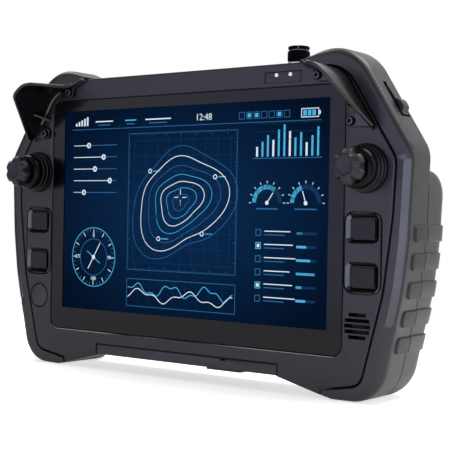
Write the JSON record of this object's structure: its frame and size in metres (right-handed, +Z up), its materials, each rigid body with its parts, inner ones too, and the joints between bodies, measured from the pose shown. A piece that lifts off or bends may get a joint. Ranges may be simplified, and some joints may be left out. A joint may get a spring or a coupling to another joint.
{
  "type": "handheld data collector",
  "caption": "Rugged handheld data collector with a landscape touch display, sprung thumb sticks under guards, press keys, port hatch, top knob and rear hand grips.",
  "frame": {"origin": "centre of the overall box at the plane of the two feet", "axes": "+X to the user's right along the display, -Y out of the display towards the user, +Z up"},
  "size_m": [0.3254, 0.0872, 0.2083],
  "materials": {
    "housing_plastic": "fine moulded grain",
    "bumper_rubber": "soft-touch matt",
    "grip_rubber": "soft-touch matt",
    "guard_plastic": "satin",
    "boot_rubber": "matt",
    "cap_plastic": "satin",
    "key_rubber": "matt",
    "knob_plastic": "satin",
    "collar_metal": "turned",
    "screen": "lit panel",
    "smoked_window": "gloss",
    "lens_white": "gloss",
    "seal_foam": "matt",
    "battery_wrap": "matt",
    "board_green": "satin",
    "steel": "satin",
    "screw_steel": "blackened",
    "gimbal_plastic": "satin",
    "gimbal_metal": "satin",
    "cover_glass": "clear with a dark border"
  },
  "bodies": {
    "chassis": {"battery_cover": "housing_plastic", "battery_cover_screw_1": "screw_steel", "battery_cover_screw_2": "screw_steel", "battery_cover_screw_3": "screw_steel", "battery_cover_screw_4": "screw_steel", "battery_pack": "battery_wrap", "display_gasket": "seal_foam", "display_glass": "cover_glass", "display_panel": "screen", "front_housing": "housing_plastic", "hatch_pin": "steel", "housing_screw_1": "screw_steel", "housing_screw_2": "screw_steel", "housing_screw_3": "screw_steel", "housing_screw_4": "screw_steel", "housing_screw_5": "screw_steel", "housing_screw_6": "screw_steel", "indicator_window": "smoked_window", "knob_collar": "collar_metal", "knob_encoder": "steel", "left_bumper": "bumper_rubber", "left_gimbal_frame": "gimbal_plastic", "left_grip": "grip_rubber", "left_guard_screw_side": "screw_steel", "left_guard_screw_top": "screw_steel", "left_indicator": "lens_white", "left_key_bezel": "housing_plastic", "left_key_board": "board_green", "left_stick_boot": "boot_rubber", "left_stick_guard": "guard_plastic", "main_board": "board_green", "port_block": "steel", "rear_housing": "housing_plastic", "right_bumper": "bumper_rubber", "right_gimbal_frame": "gimbal_plastic", "right_grip": "grip_rubber", "right_guard_screw_side": "screw_steel", "right_guard_screw_top": "screw_steel", "right_indicator": "lens_white", "right_key_bezel": "housing_plastic", "right_key_board": "board_green", "right_stick_boot": "boot_rubber", "right_stick_guard": "guard_plastic", "speaker": "cap_plastic"},
    "left_ring": {"left_gimbal_ring": "gimbal_metal"},
    "right_ring": {"right_gimbal_ring": "gimbal_metal"},
    "left_stick": {"left_stick_shaft": "steel", "left_stick_cap": "cap_plastic"},
    "right_stick": {"right_stick_shaft": "steel", "right_stick_cap": "cap_plastic"},
    "hatch": {"port_hatch": "bumper_rubber"},
    "knob": {"rotary_knob": "knob_plastic"},
    "left_upper_key_body": {"left_upper_key": "key_rubber"},
    "left_lower_key_body": {"left_lower_key": "key_rubber"},
    "right_upper_key_body": {"right_upper_key": "key_rubber"},
    "right_lower_key_body": {"right_lower_key": "key_rubber"},
    "round_key_body": {"round_key": "key_rubber"},
    "left_shoulder_key_body": {"left_shoulder_key": "key_rubber"},
    "right_shoulder_key_body": {"right_shoulder_key": "key_rubber"}
  },
  "joints": [
    {"name": "left_stick_pitch", "type": "hinge", "parent": "chassis", "child": "left_ring", "pos_m": [-0.13358, -0.0006, 0.1337], "axis": [1, 0, 0], "range_deg": [-20, 20], "stiffness_Nm_per_rad": 0.06, "deforming": ["left_stick_boot"]},
    {"name": "left_stick_roll", "type": "hinge", "parent": "left_ring", "child": "left_stick", "pos_m": [-0.13358, -0.0006, 0.1337], "axis": [0, 0, 1], "range_deg": [-20, 20], "stiffness_Nm_per_rad": 0.06, "deforming": ["left_stick_boot"]},
    {"name": "right_stick_pitch", "type": "hinge", "parent": "chassis", "child": "right_ring", "pos_m": [0.13358, -0.0006, 0.1337], "axis": [1, 0, 0], "range_deg": [-20, 20], "stiffness_Nm_per_rad": 0.06, "deforming": ["right_stick_boot"]},
    {"name": "right_stick_roll", "type": "hinge", "parent": "right_ring", "child": "right_stick", "pos_m": [0.13358, -0.0006, 0.1337], "axis": [0, 0, 1], "range_deg": [-20, 20], "stiffness_Nm_per_rad": 0.06, "deforming": ["right_stick_boot"]},
    {"name": "left_upper_key_press", "type": "slide", "parent": "chassis", "child": "left_upper_key_body", "axis": [0, 1, 0], "range_m": [0, 0.0012], "stiffness_N_per_m": 400},
    {"name": "left_lower_key_press", "type": "slide", "parent": "chassis", "child": "left_lower_key_body", "axis": [0, 1, 0], "range_m": [0, 0.0012], "stiffness_N_per_m": 400},
    {"name": "right_upper_key_press", "type": "slide", "parent": "chassis", "child": "right_upper_key_body", "axis": [0, 1, 0], "range_m": [0, 0.0012], "stiffness_N_per_m": 400},
    {"name": "right_lower_key_press", "type": "slide", "parent": "chassis", "child": "right_lower_key_body", "axis": [0, 1, 0], "range_m": [0, 0.0012], "stiffness_N_per_m": 400},
    {"name": "round_key_press", "type": "slide", "parent": "chassis", "child": "round_key_body", "axis": [0, 1, 0], "range_m": [0, 0.0012], "stiffness_N_per_m": 400},
    {"name": "left_shoulder_key_press", "type": "slide", "parent": "chassis", "child": "left_shoulder_key_body", "axis": [0.8442, 0, -0.5361], "range_m": [0, 0.0012], "stiffness_N_per_m": 400},
    {"name": "right_shoulder_key_press", "type": "slide", "parent": "chassis", "child": "right_shoulder_key_body", "axis": [-0.8442, 0, -0.5361], "range_m": [0, 0.0012], "stiffness_N_per_m": 400},
    {"name": "hatch_hinge", "type": "hinge", "parent": "chassis", "child": "hatch", "pos_m": [0, 0.0054, 0.0114], "axis": [1, 0, 0], "range_deg": [0, 95]},
    {"name": "knob_turn", "type": "hinge", "parent": "chassis", "child": "knob", "pos_m": [0.07778, 0.0019, 0.1991], "axis": [0, 0, 1], "range_deg": [-150, 150]}
  ]
}
